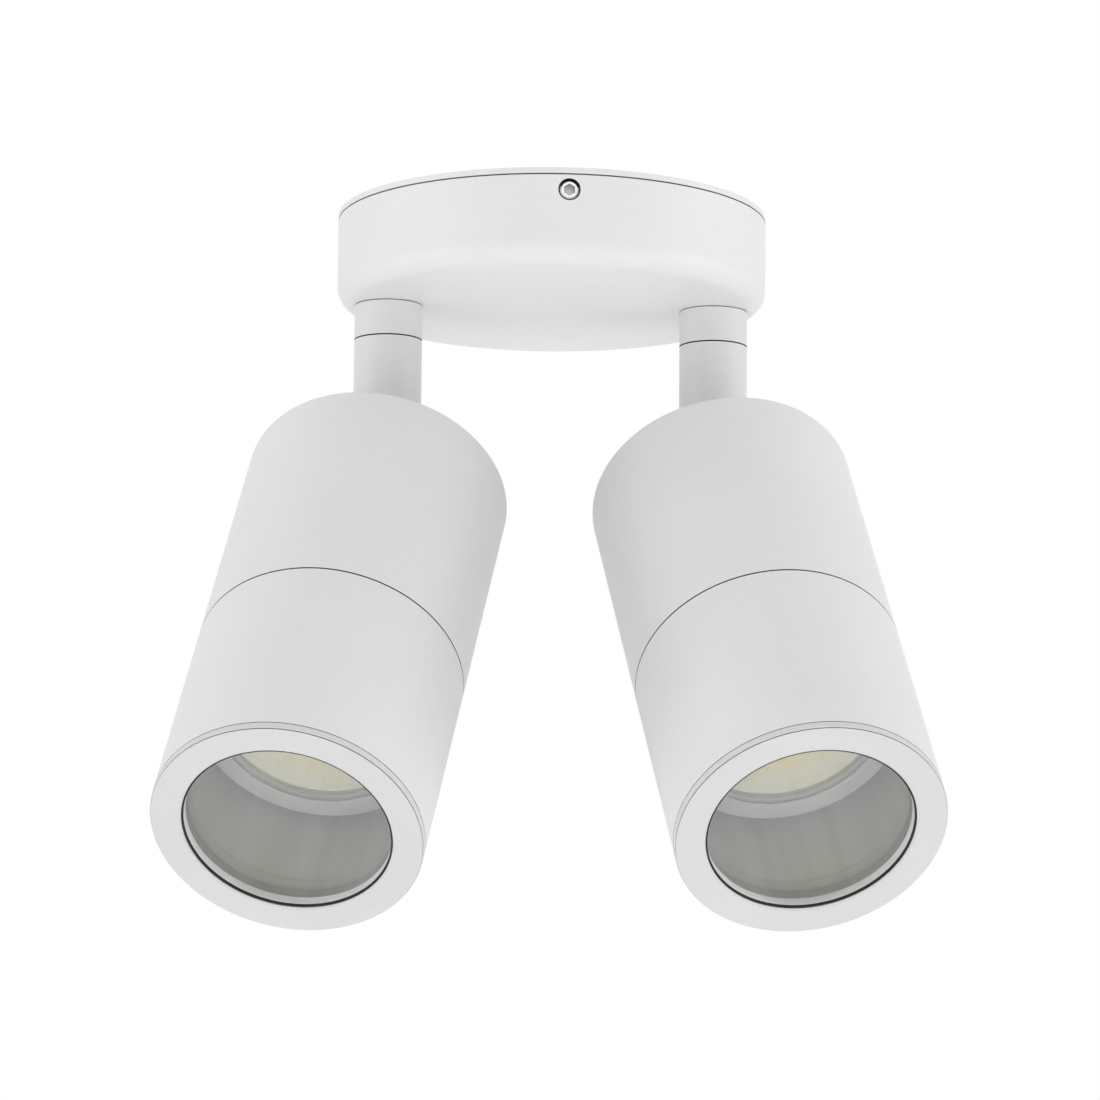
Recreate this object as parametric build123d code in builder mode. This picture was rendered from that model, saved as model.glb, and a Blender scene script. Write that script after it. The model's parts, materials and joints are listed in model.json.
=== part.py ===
from build123d import *
from math import asin, cos, degrees, radians, sin
import os

# Twin adjustable spotlight: a round canopy, two short stems that swivel and two heads that tilt.
# Millimetres. The origin is the centre of the mounting plate's back face, +Z points into the
# ceiling, the stems stand side by side along X, and the front is -Y.

# Clearances and overruns
fit_gap = 0.1
running_gap = 0.08
seal_squeeze_gap = 0.03
cut_overrun = 2.0

# Shadow gaps that show as dark lines
shadow_gap = 0.3
shadow_depth = 0.9

# Canopy and mounting plate
plate_rim = 1.35
plate_web = 3.4
plate_spigot_wall = 3.0
canopy_radius = 50.0
canopy_headroom = 0.9
canopy_wall = 3.0
canopy_floor = 3.0
canopy_edge_radius = 4.5
canopy_inner_radius = 0.5
canopy_seal_radius = 0.8
canopy_seal_rise = 2.1

# Grub screws that hold the canopy on the plate's spigot
grub_angle = -88.5
grub_count = 2
grub_drop = 3.75
grub_radius = 2.15
grub_length = 7.5
grub_inset = 0.25
grub_seal_gap = 1.45
grub_hole_gap = 0.4
grub_chamfer = 0.35
grub_socket_flats = 2.5
grub_socket_depth = 2.4

# Ceiling fixings, cable entry and wiring gear on the plate
fixing_spacing = 60.0
fixing_hole_radius = 2.25
grommet_flange_radius = 9.0
grommet_neck_radius = 6.9
grommet_bore_radius = 4.5
grommet_flange = 1.2
grommet_edge_radius = 0.4
block_centre_y = 17.5
block_length = 28.0
block_width = 15.0
block_height = 11.0
block_edge = 0.8
pole_count = 4
pole_pitch = 6.5
pole_bore_radius = 1.5
peg_radius = 1.5
peg_depth = 2.0
peg_spacing = 19.5
terminal_screw_radius = 1.5
terminal_screw_length = 3.4
terminal_screw_inset = 3.5
terminal_slot_width = 0.6
terminal_slot_depth = 0.7
earth_x = 17.0
earth_y = -20.0
earth_boss_radius = 4.5
earth_boss_height = 3.0
earth_shank_radius = 2.0
earth_head_radius = 3.8
earth_head_height = 2.4

# Collars, swivel nipples and stops
stem_inset = 12.0
collar_height = 8.2
nipple_wall = 2.5
nipple_seat_wall = 1.8
nipple_seat_depth = 8.0
nipple_stand = 1.2
lock_nut_wall = 1.5
lock_nut_height = 3.6
stop_washer_width = 2.4
stop_washer_thickness = 1.2
stop_tab_width = 3.0
stop_post_radius = 1.5
stop_post_height = 1.2
stop_clearance = 0.3
swivel_seal_radius = 0.5

# Knuckle: a half lap between the stem's end and the lug behind the head
stem_hollow_height = 10.0
rear_face_gap = 11.0
lap_gap = 0.3
knuckle_wall = 2.9
bolt_radius = 2.0
bolt_head_radius = 3.8
bolt_head_height = 1.9
bolt_recess_gap = 0.5
bolt_socket_flats = 2.5
bolt_socket_depth = 1.2
knuckle_nut_inset = 0.3
knuckle_nut_height = 1.5
knuckle_washer_thickness = 0.4
knuckle_seal_wall = 0.6
knuckle_seal_radius = 0.5
seal_groove_gap = 0.1

# Heads
head_length = 114.0
tube_wall = 3.25
rear_wall = 4.0
rear_housing_wall = 3.0
rear_edge_radius = 1.0
spigot_root = 3.0
spigot_wall = 2.0
spigot_gap = 0.1
tube_rear_wall = 2.25
seam_seal_setback = 1.9
seam_seal_radius = 0.6

# Bezel, gasket, ring, glass and the shoulder in the tube's mouth that the glass is pressed on
bezel_band = 1.75
bezel_edge = 0.4
bezel_cover = 3.1
bezel_lip = 0.5
bezel_bevel_width = 0.5
bezel_bevel_depth = 0.3
bezel_skirt_wall = 1.9
bezel_line_gap = 0.15
mouth_wall = 1.65
gasket_width = 3.55
gasket_thickness = 0.5
glass_ring_width = 3.6
glass_ring_height = 2.0
glass_ring_chamfer = 0.1
glass_thickness = 3.0
glass_chamfer = 0.3
glass_seat_cover = 1.0
glass_seat_height = 1.5

# Lamp ring, lamp and lampholder
lamp_ring_setback = 17.5
lamp_ring_cover = 2.0
lamp_ring_thickness = 0.7
lamp_ring_chamfer = 0.15
lamp_front_gap = 0.3
lamp_radius = 25.0
lamp_room = 2.25
lamp_length = 46.5
lamp_rim_width = 2.9
lamp_rim_height = 3.7
# The bowl's outline from its shoulder to its base, as shares of the lamp's radius and length
lamp_bowl_shares = [(0.94, 0.2), (0.76, 0.45), (0.54, 0.7), (0.46, 0.78)]
lens_recess = 2.25
lens_thickness = 1.0
lens_crown = 0.5
pin_radius = 2.5
pin_neck_radius = 1.6
pin_length = 7.5
pin_head_length = 3.0
pin_spacing = 10.0
holder_end = 3.5
holder_width = 17.5
holder_height = 13.5
holder_edge_radius = 3.0
holder_pin_gap = 0.15
holder_pin_depth = 8.6
holder_seat_gap = 0.2
holder_room = 13.8
bracket_thickness = 1.2
bracket_width = 16.0
bracket_span = 31.0
bracket_foot = 5.5
bracket_screw_gap = 1.2
small_screw_radius = 1.5
small_screw_head_radius = 2.6
small_screw_head_height = 1.8
foot_screw_depth = 2.4
holder_screw_depth = 4.5

# Leads: thin heat-proof pairs in one sleeve each
lead_radius = 1.2
lead_passage_gap = 0.15
lead_offset_x = 2.5
lead_bolt_gap = 0.3
lead_chamber_gap = 0.3
lead_crossing_gap = 0.5
lead_bend = 4.0
lead_shift_bend = 5.0
lead_shift_inset = 1.5
lead_run_drop = 8.0
lead_side_step = 8.0
lead_fan_length = 5.0
lead_core_radius = 0.6
lead_holder_depth = 3.0
stem_bore_wall = 2.2
stem_bore_floor = 10.5

# How the two heads are aimed in the rest pose, in degrees
left_swivel_angle = -16.5
right_swivel_angle = 11.25
left_tilt_angle = 39.0
right_tilt_angle = 40.0

# Worked out from the inside outwards: the knuckle, the stem and what turns in the canopy
lead_offset_y = bolt_radius + lead_bolt_gap + lead_radius
knuckle_chamber_radius = lead_offset_y + lead_radius + lead_chamber_gap
knuckle_chamber_depth = lead_offset_x + lead_radius
knuckle_seal_ring_radius = knuckle_chamber_radius + knuckle_seal_wall + knuckle_seal_radius + seal_groove_gap
knuckle_seal_place = lap_gap / 2 - seal_squeeze_gap - knuckle_seal_radius
knuckle_groove_depth = knuckle_seal_radius + seal_groove_gap - knuckle_seal_place - lap_gap / 2
stem_radius = knuckle_chamber_radius + knuckle_wall
stem_bore_radius = stem_radius - stem_bore_wall
bolt_recess_radius = bolt_head_radius + bolt_recess_gap
bolt_recess_floor = stem_radius - bolt_head_height - fit_gap
knuckle_nut_flats = 2 * (bolt_head_radius - knuckle_nut_inset)
nipple_radius = stem_radius - nipple_seat_wall - fit_gap
nipple_bore_radius = nipple_radius - nipple_wall
lock_nut_flats = 2 * (nipple_radius + lock_nut_wall)
stop_washer_radius = nipple_radius + stop_washer_width
stop_post_circle = stop_washer_radius + stop_post_radius + stop_clearance
stop_tab_reach = stop_post_circle + stop_post_radius
swivel_seal_ring_radius = (nipple_radius + fit_gap + stem_radius) / 2

# Worked-out places in the base
seal_groove_reach = canopy_seal_radius + seal_groove_gap
plate_spigot_height = grub_drop + grub_radius + grub_seal_gap + seal_groove_reach + canopy_seal_rise
nipple_stack = fit_gap + stop_washer_thickness + lock_nut_height + nipple_stand
canopy_height = plate_spigot_height + canopy_headroom + nipple_stack + canopy_floor
canopy_bottom = -(plate_rim + canopy_height)
canopy_floor_top = canopy_bottom + canopy_floor
canopy_bore = canopy_radius - canopy_wall
spigot_radius = canopy_bore - fit_gap
spigot_inner = spigot_radius - plate_spigot_wall
spigot_bottom = -(plate_rim + plate_spigot_height)
pole_positions = [pole_pitch * (pole - (pole_count - 1) / 2) for pole in range(pole_count)]
block_front = block_centre_y - block_width / 2
terminal_row_distance = block_width - 2 * terminal_screw_inset
lead_run_height = -lead_run_drop

# Worked-out places along the arms
stem_offset = canopy_radius - stem_inset
collar_bottom = canopy_bottom - collar_height
stem_top = collar_bottom - shadow_gap
pivot_height = stem_top - nipple_seat_depth - stem_hollow_height - stem_bore_floor
stop_washer_bottom = canopy_floor_top + fit_gap
lock_nut_bottom = stop_washer_bottom + stop_washer_thickness
nipple_top = canopy_floor_top + nipple_stack
swivel_seal_height = collar_bottom - seal_squeeze_gap - swivel_seal_radius

# Worked-out places in the heads, whose width follows from the lamp
housing_bore = lamp_radius + lamp_room
head_radius = housing_bore + rear_housing_wall
tube_bore = head_radius - tube_wall
tube_rear_bore = head_radius - tube_rear_wall
housing_spigot = tube_rear_bore - spigot_gap
seam_seal_track = tube_rear_bore - seal_squeeze_gap - seam_seal_radius
seam_groove_reach = seam_seal_radius + seal_groove_gap
mouth_bore = head_radius - mouth_wall
skirt_radius = mouth_bore - fit_gap
skirt_bore = skirt_radius - bezel_skirt_wall
glass_radius = skirt_bore - fit_gap
bezel_opening_radius = glass_radius - bezel_cover
gasket_inner_radius = glass_radius - gasket_width
glass_ring_inner_radius = glass_radius - glass_ring_width
glass_seat_radius = glass_radius - glass_seat_cover
lamp_ring_inner_radius = lamp_radius - lamp_ring_cover
lens_radius = lamp_radius - lamp_rim_width
gasket_top = bezel_lip + gasket_thickness
glass_ring_top = gasket_top + glass_ring_height
glass_top = glass_ring_top + glass_thickness
mouth_depth = glass_top + fit_gap
glass_seat_depth = mouth_depth + glass_seat_height
holder_screw_spacing = bracket_span - 2 * (bracket_thickness + bracket_screw_gap + small_screw_head_radius)
holder_length = holder_screw_spacing + 2 * holder_end
holder_back = head_length - rear_wall - holder_room
holder_front = holder_back - holder_height
lamp_front = holder_front - holder_seat_gap - lamp_length
lamp_ring_depth = lamp_front - lamp_front_gap - lamp_ring_thickness
seam_depth = lamp_ring_depth + lamp_ring_setback
reach = rear_face_gap + head_length


def finish(part, label):
    part.label = label
    export_step(part, f"parts/{label}.step")


def profile_plane(frame):
    """The plane through the frame's axis: its x is the radius and its y runs along the axis."""
    return Plane(origin=frame.origin, x_dir=frame.x_dir, z_dir=frame.x_dir.cross(frame.z_dir))


def axis_of(frame):
    return Axis(frame.origin, frame.z_dir)


def arm_frame(x, swivel):
    """Origin above the swivel axis at height zero, x along the tilt axis and y towards the back."""
    turn = Vector(cos(radians(swivel)), sin(radians(swivel)), 0)
    return Plane(origin=(x, 0, 0), x_dir=turn, z_dir=(0, 0, 1))


def radial_plane(angle, height):
    """A plane that faces outwards at this angle round the canopy."""
    out = Vector(cos(radians(angle)), sin(radians(angle)), 0)
    return Plane(origin=(0, 0, height), x_dir=(0, 0, 1), z_dir=out)


def head_frame(arm, tilt):
    """Origin on the tilt axis, x along it and z along the head towards its glass."""
    down = -arm.z_dir
    forward = -arm.y_dir
    aim = down * cos(radians(tilt)) + forward * sin(radians(tilt))
    return Plane(origin=arm.offset(pivot_height).origin, x_dir=arm.x_dir, z_dir=aim)


def at_depth(frame, depth):
    """The cross plane of a head at this depth behind its front face."""
    return frame.offset(reach - depth)


os.makedirs("parts", exist_ok=True)

# Base

grub_angles = [grub_angle + 360 / grub_count * turn for turn in range(grub_count)]
grub_height = -(plate_rim + grub_drop)
seal_height = spigot_bottom + canopy_seal_rise
seal_track = canopy_bore - canopy_seal_radius - seal_squeeze_gap

with BuildPart() as mounting_plate:
    with BuildSketch(Plane.XY):
        Circle(canopy_radius)
    extrude(amount=-plate_rim)
    with BuildSketch(Plane.XY):
        Circle(spigot_radius)
    extrude(amount=-plate_web)
    with BuildSketch(Plane.XY):
        Circle(spigot_radius)
        Circle(spigot_inner, mode=Mode.SUBTRACT)
    extrude(amount=spigot_bottom)
    with BuildSketch(Plane.XY.offset(-plate_web)):
        with Locations((earth_x, earth_y)):
            Circle(earth_boss_radius)
    extrude(amount=-earth_boss_height)
    # Groove for the canopy seal
    with BuildSketch(Plane.XY.offset(seal_height)):
        Circle(canopy_bore)
        Circle(seal_track - seal_groove_reach, mode=Mode.SUBTRACT)
    extrude(amount=seal_groove_reach, both=True, mode=Mode.SUBTRACT)
    # Ceiling fixings, earth screw and the pegs of the terminal block
    with BuildSketch(Plane.XY):
        with GridLocations(0, fixing_spacing, 1, 2):
            Circle(fixing_hole_radius)
    extrude(amount=-plate_web, mode=Mode.SUBTRACT)
    with BuildSketch(Plane.XY.offset(-plate_web - earth_boss_height)):
        with Locations((earth_x, earth_y)):
            Circle(earth_shank_radius + fit_gap)
    extrude(amount=earth_boss_height + plate_web / 2, mode=Mode.SUBTRACT)
    with BuildSketch(Plane.XY.offset(-plate_web)):
        with Locations((0, block_centre_y)):
            with GridLocations(peg_spacing, 0, 2, 1):
                Circle(peg_radius + fit_gap)
    extrude(amount=peg_depth + fit_gap, mode=Mode.SUBTRACT)
    # Cable entry with a seat for the grommet's flange
    with BuildSketch(Plane.XY):
        Circle(grommet_neck_radius + fit_gap)
    extrude(amount=-plate_web, mode=Mode.SUBTRACT)
    with BuildSketch(Plane.XY):
        Circle(grommet_flange_radius + fit_gap)
    extrude(amount=-grommet_flange, mode=Mode.SUBTRACT)
    # Tapped holes for the grub screws
    for angle in grub_angles:
        with BuildSketch(radial_plane(angle, grub_height).offset(spigot_inner - cut_overrun)):
            Circle(grub_radius + fit_gap)
        extrude(amount=plate_spigot_wall + 2 * cut_overrun, mode=Mode.SUBTRACT)
finish(mounting_plate.part, "mounting_plate")

with BuildPart() as cable_grommet:
    with BuildSketch(Plane.XY):
        Circle(grommet_flange_radius)
    extrude(amount=-grommet_flange)
    with BuildSketch(Plane.XY):
        Circle(grommet_neck_radius)
    extrude(amount=-plate_web)
    with BuildSketch(Plane.XY.offset(-plate_web)):
        Circle(grommet_flange_radius)
    extrude(amount=-grommet_flange)
    lower_rim = cable_grommet.edges().filter_by(GeomType.CIRCLE).sort_by(Axis.Z)[0]
    fillet(lower_rim, grommet_edge_radius)
    with BuildSketch(Plane.XY):
        Circle(grommet_bore_radius)
    extrude(amount=-(plate_web + grommet_flange), mode=Mode.SUBTRACT)
finish(cable_grommet.part, "cable_grommet")

with BuildPart() as terminal_block:
    with BuildSketch(Plane.XY.offset(-plate_web)):
        with Locations((0, block_centre_y)):
            Rectangle(block_length, block_width)
    extrude(amount=-block_height)
    chamfer(terminal_block.faces().sort_by(Axis.Z)[0].edges(), block_edge)
    with BuildSketch(Plane.XY.offset(-plate_web)):
        with Locations((0, block_centre_y)):
            with GridLocations(peg_spacing, 0, 2, 1):
                Circle(peg_radius)
    extrude(amount=peg_depth)
    for pole in pole_positions:
        with BuildSketch(Plane.XZ.offset(-block_front)):
            with Locations((pole, lead_run_height)):
                Circle(pole_bore_radius)
        extrude(amount=-block_width, mode=Mode.SUBTRACT)
        with BuildSketch(Plane.XY.offset(-plate_web - block_height)):
            with Locations((pole, block_centre_y)):
                with GridLocations(0, terminal_row_distance, 1, 2):
                    Circle(terminal_screw_radius + fit_gap)
        extrude(amount=block_height + plate_web + lead_run_height, mode=Mode.SUBTRACT)
finish(terminal_block.part, "terminal_block")

with BuildPart() as terminal_screws:
    screw_end = lead_run_height - pole_bore_radius
    for pole in pole_positions:
        with BuildSketch(Plane.XY.offset(screw_end)):
            with Locations((pole, block_centre_y)):
                with GridLocations(0, terminal_row_distance, 1, 2):
                    Circle(terminal_screw_radius)
        extrude(amount=-terminal_screw_length)
        with BuildSketch(Plane.XY.offset(screw_end - terminal_screw_length)):
            with Locations((pole, block_centre_y)):
                with GridLocations(0, terminal_row_distance, 1, 2):
                    Rectangle(2 * terminal_screw_radius, terminal_slot_width)
        extrude(amount=terminal_slot_depth, mode=Mode.SUBTRACT)
finish(terminal_screws.part, "terminal_screws")

with BuildPart() as earth_screw:
    with BuildSketch(Plane.XY.offset(-plate_web - earth_boss_height)):
        with Locations((earth_x, earth_y)):
            Circle(earth_shank_radius)
    extrude(amount=earth_boss_height + plate_web / 2 - fit_gap)
    with BuildSketch(Plane.XY.offset(-plate_web - earth_boss_height)):
        with Locations((earth_x, earth_y)):
            Circle(earth_head_radius)
    extrude(amount=-earth_head_height)
    with BuildSketch(Plane.XY.offset(-plate_web - earth_boss_height - earth_head_height)):
        with Locations((earth_x, earth_y)):
            Rectangle(2 * earth_head_radius, terminal_slot_width)
            Rectangle(terminal_slot_width, 2 * earth_head_radius)
    extrude(amount=earth_head_height / 2, mode=Mode.SUBTRACT)
finish(earth_screw.part, "earth_screw")

stop_reach = stop_tab_width / 2 + stop_post_radius + stop_clearance
post_turn = 90 + degrees(asin(stop_reach / stop_post_circle))
post_spots = []
for side in (-1, 1):
    for turn in (-post_turn, post_turn):
        post_x = side * (stem_offset - stop_post_circle * cos(radians(turn)))
        post_spots.append((post_x, stop_post_circle * sin(radians(turn))))

with BuildPart() as canopy:
    with BuildSketch(Plane.XY.offset(-plate_rim)):
        Circle(canopy_radius)
    extrude(amount=-canopy_height)
    fillet(canopy.edges().filter_by(GeomType.CIRCLE).sort_by(Axis.Z)[0], canopy_edge_radius)
    with BuildSketch(Plane.XY.offset(-plate_rim)):
        Circle(canopy_bore)
    extrude(amount=-(canopy_height - canopy_floor), mode=Mode.SUBTRACT)
    inner_corner = canopy.faces().filter_by(GeomType.PLANE).sort_by(Axis.Z)[1].edges()
    fillet(inner_corner, canopy_inner_radius)
    # The outer edge stands back from the plate and leaves a thin dark line
    with BuildSketch(Plane.XY.offset(-plate_rim)):
        Circle(canopy_radius)
        Circle(canopy_radius - shadow_depth, mode=Mode.SUBTRACT)
    extrude(amount=-shadow_gap, mode=Mode.SUBTRACT)
    # Posts that stop the swivel at both ends of its half turn
    with BuildSketch(Plane.XY.offset(canopy_floor_top)):
        with Locations(*post_spots):
            Circle(stop_post_radius)
    extrude(amount=stop_post_height)
    # Holes for the swivel nipples and the grub screws
    with BuildSketch(Plane.XY.offset(canopy_bottom)):
        with GridLocations(2 * stem_offset, 0, 2, 1):
            Circle(nipple_radius + running_gap)
    extrude(amount=canopy_floor, mode=Mode.SUBTRACT)
    for angle in grub_angles:
        with BuildSketch(radial_plane(angle, grub_height).offset(canopy_bore - cut_overrun)):
            Circle(grub_radius + grub_hole_gap)
        extrude(amount=canopy_wall + 2 * cut_overrun, mode=Mode.SUBTRACT)
finish(canopy.part, "canopy")

with BuildPart(Plane.XY.offset(seal_height)) as canopy_seal:
    Torus(seal_track, canopy_seal_radius)
finish(canopy_seal.part, "canopy_seal")

with BuildPart() as grub_screws:
    grub_face = canopy_radius - grub_inset
    for angle in grub_angles:
        with BuildSketch(radial_plane(angle, grub_height).offset(grub_face - grub_length)):
            Circle(grub_radius)
        extrude(amount=grub_length)
    rims = grub_screws.edges().filter_by(GeomType.CIRCLE)
    chamfer(rims, grub_chamfer)
    for angle in grub_angles:
        with BuildSketch(radial_plane(angle, grub_height).offset(grub_face)):
            RegularPolygon(grub_socket_flats / 2, 6, major_radius=False)
        extrude(amount=-grub_socket_depth, mode=Mode.SUBTRACT)
finish(grub_screws.part, "grub_screws")


def build_canopy_lead(side, name):
    """The sleeve from the swivel nipple to the terminal block, and its two cores."""
    fan_x = side * pole_pitch * (pole_count - 2) / 2
    fan_y = block_front - lead_fan_length
    with BuildPart() as canopy_lead:
        with BuildLine() as route:
            FilletPolyline(
                (side * stem_offset, 0, nipple_top),
                (side * stem_offset, 0, lead_run_height),
                (fan_x, -lead_side_step, lead_run_height),
                (fan_x, fan_y, lead_run_height),
                radius=lead_bend,
            )
        with BuildSketch(Plane(origin=route.line @ 0, z_dir=route.line % 0)):
            Circle(lead_radius)
        sweep()
        for step in (-1, 1):
            start = Vector(fan_x, fan_y - lead_radius / 2, lead_run_height)
            mouth = Vector(fan_x + step * pole_pitch / 2, block_front + lead_radius, lead_run_height)
            with BuildSketch(Plane(origin=start, z_dir=mouth - start)):
                Circle(lead_core_radius)
            extrude(amount=(mouth - start).length)
    finish(canopy_lead.part, f"{name}_canopy_lead")


# Arms


def build_collar(arm, name):
    with BuildPart() as collar:
        with BuildSketch(arm.offset(collar_bottom)):
            Circle(stem_radius)
            Circle(nipple_radius + running_gap, mode=Mode.SUBTRACT)
        extrude(amount=collar_height)
    finish(collar.part, f"{name}_collar")


def build_stem(arm, knuckle, name):
    """The tube under the collar, with half of a lapped knuckle at its lower end."""
    shoulder = stem_radius + lap_gap
    stem_height = stem_top - pivot_height
    with BuildPart() as stem:
        with BuildSketch(arm.offset(pivot_height - stem_radius)):
            Circle(stem_radius)
        extrude(amount=stem_height + stem_radius)
        with BuildSketch(knuckle):
            Circle(stem_radius)
            Rectangle(2 * stem_radius, stem_height, align=(Align.CENTER, Align.MIN))
        extrude(amount=stem_radius, both=True, mode=Mode.INTERSECT)
        with BuildSketch(knuckle.offset(-lap_gap / 2)):
            with Locations((0, shoulder)):
                Rectangle(2 * shoulder, 2 * shoulder, align=(Align.CENTER, Align.MAX))
        extrude(amount=stem_radius + lap_gap, mode=Mode.SUBTRACT)
        # Seat for the swivel nipple, and the hollow below it
        with BuildSketch(arm.offset(stem_top)):
            Circle(nipple_radius + fit_gap)
        extrude(amount=-nipple_seat_depth, mode=Mode.SUBTRACT)
        with BuildSketch(arm.offset(pivot_height + stem_bore_floor)):
            Circle(stem_bore_radius)
        extrude(amount=stem_height - stem_bore_floor, mode=Mode.SUBTRACT)
        # Half of the knuckle chamber, the lead's passage into it and the bolt's hole
        with BuildSketch(knuckle.offset(-lap_gap / 2)):
            Circle(knuckle_chamber_radius)
        extrude(amount=-knuckle_chamber_depth, mode=Mode.SUBTRACT)
        with BuildSketch(arm.offset(pivot_height)):
            with Locations((-lead_offset_x, lead_offset_y)):
                Circle(lead_radius + lead_passage_gap)
        extrude(amount=stem_bore_floor, mode=Mode.SUBTRACT)
        with BuildSketch(knuckle):
            Circle(bolt_radius + fit_gap)
        extrude(amount=-stem_radius, mode=Mode.SUBTRACT)
        with BuildSketch(knuckle.offset(-bolt_recess_floor)):
            Circle(bolt_recess_radius)
        extrude(amount=-stem_radius, mode=Mode.SUBTRACT)
        # Grooves for the swivel seal and the knuckle seal
        with BuildSketch(profile_plane(arm)):
            with Locations((swivel_seal_ring_radius, swivel_seal_height)):
                Circle(swivel_seal_radius + seal_groove_gap)
        revolve(axis=axis_of(arm), mode=Mode.SUBTRACT)
        with BuildSketch(knuckle.offset(-lap_gap / 2)):
            Circle(knuckle_seal_ring_radius + knuckle_seal_radius + seal_groove_gap)
            Circle(knuckle_seal_ring_radius - knuckle_seal_radius - seal_groove_gap, mode=Mode.SUBTRACT)
        extrude(amount=-knuckle_groove_depth, mode=Mode.SUBTRACT)
    finish(stem.part, f"{name}_stem")


def build_swivel(arm, name):
    """The hollow nipple that turns with the stem, its nut, its stop washer and its seal."""
    nipple_end = stem_top - nipple_seat_depth
    with BuildPart() as swivel_nipple:
        with BuildSketch(arm.offset(nipple_end)):
            Circle(nipple_radius)
            Circle(nipple_bore_radius, mode=Mode.SUBTRACT)
        extrude(amount=nipple_top - nipple_end)
    finish(swivel_nipple.part, f"{name}_swivel_nipple")

    with BuildPart() as stop_washer:
        with BuildSketch(arm.offset(stop_washer_bottom)):
            Circle(stop_washer_radius)
            Rectangle(stop_tab_width, stop_tab_reach, align=(Align.CENTER, Align.MIN))
            Circle(nipple_radius + fit_gap, mode=Mode.SUBTRACT)
        extrude(amount=stop_washer_thickness)
    finish(stop_washer.part, f"{name}_stop_washer")

    with BuildPart() as lock_nut:
        with BuildSketch(arm.offset(lock_nut_bottom)):
            RegularPolygon(lock_nut_flats / 2, 6, major_radius=False)
            Circle(nipple_radius + fit_gap, mode=Mode.SUBTRACT)
        extrude(amount=lock_nut_height)
    finish(lock_nut.part, f"{name}_lock_nut")

    with BuildPart(arm.offset(swivel_seal_height)) as swivel_seal:
        Torus(swivel_seal_ring_radius, swivel_seal_radius)
    finish(swivel_seal.part, f"{name}_swivel_seal")


def build_knuckle_fixings(knuckle, name):
    """The bolt along the tilt axis with its nut and washer, and the seal between the laps."""
    bolt_end = bolt_recess_floor + knuckle_washer_thickness + knuckle_nut_height
    with BuildPart() as knuckle_bolt:
        with BuildSketch(knuckle.offset(-bolt_recess_floor)):
            Circle(bolt_radius)
        extrude(amount=bolt_recess_floor + bolt_end)
        with BuildSketch(knuckle.offset(-bolt_recess_floor)):
            Circle(bolt_head_radius)
        extrude(amount=-bolt_head_height)
        with BuildSketch(knuckle.offset(-bolt_recess_floor - bolt_head_height)):
            RegularPolygon(bolt_socket_flats / 2, 6, major_radius=False)
        extrude(amount=bolt_socket_depth, mode=Mode.SUBTRACT)
    finish(knuckle_bolt.part, f"{name}_knuckle_bolt")

    with BuildPart() as knuckle_washer:
        with BuildSketch(knuckle.offset(bolt_recess_floor)):
            Circle(bolt_head_radius)
            Circle(bolt_radius + fit_gap, mode=Mode.SUBTRACT)
        extrude(amount=knuckle_washer_thickness)
    finish(knuckle_washer.part, f"{name}_knuckle_washer")

    with BuildPart() as knuckle_nut:
        with BuildSketch(knuckle.offset(bolt_recess_floor + knuckle_washer_thickness)):
            RegularPolygon(knuckle_nut_flats / 2, 6, major_radius=False)
            Circle(bolt_radius + fit_gap, mode=Mode.SUBTRACT)
        extrude(amount=knuckle_nut_height)
    finish(knuckle_nut.part, f"{name}_knuckle_nut")

    with BuildPart(knuckle.offset(knuckle_seal_place)) as knuckle_seal:
        Torus(knuckle_seal_ring_radius, knuckle_seal_radius)
    finish(knuckle_seal.part, f"{name}_knuckle_seal")


def build_stem_lead(arm, name):
    """The sleeve down the swivel axis, over to one side and into the knuckle chamber."""
    with BuildPart() as stem_lead:
        with BuildLine(arm) as route:
            FilletPolyline(
                (0, 0, nipple_top),
                (0, 0, stem_top - nipple_seat_depth - lead_shift_inset),
                (-lead_offset_x, lead_offset_y, pivot_height + stem_bore_floor + lead_shift_inset),
                (-lead_offset_x, lead_offset_y, pivot_height + lead_crossing_gap),
                radius=lead_shift_bend,
            )
        with BuildSketch(Plane(origin=route.line @ 0, z_dir=route.line % 0)):
            Circle(lead_radius)
        sweep()
    finish(stem_lead.part, f"{name}_stem_lead")


# Heads


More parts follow.
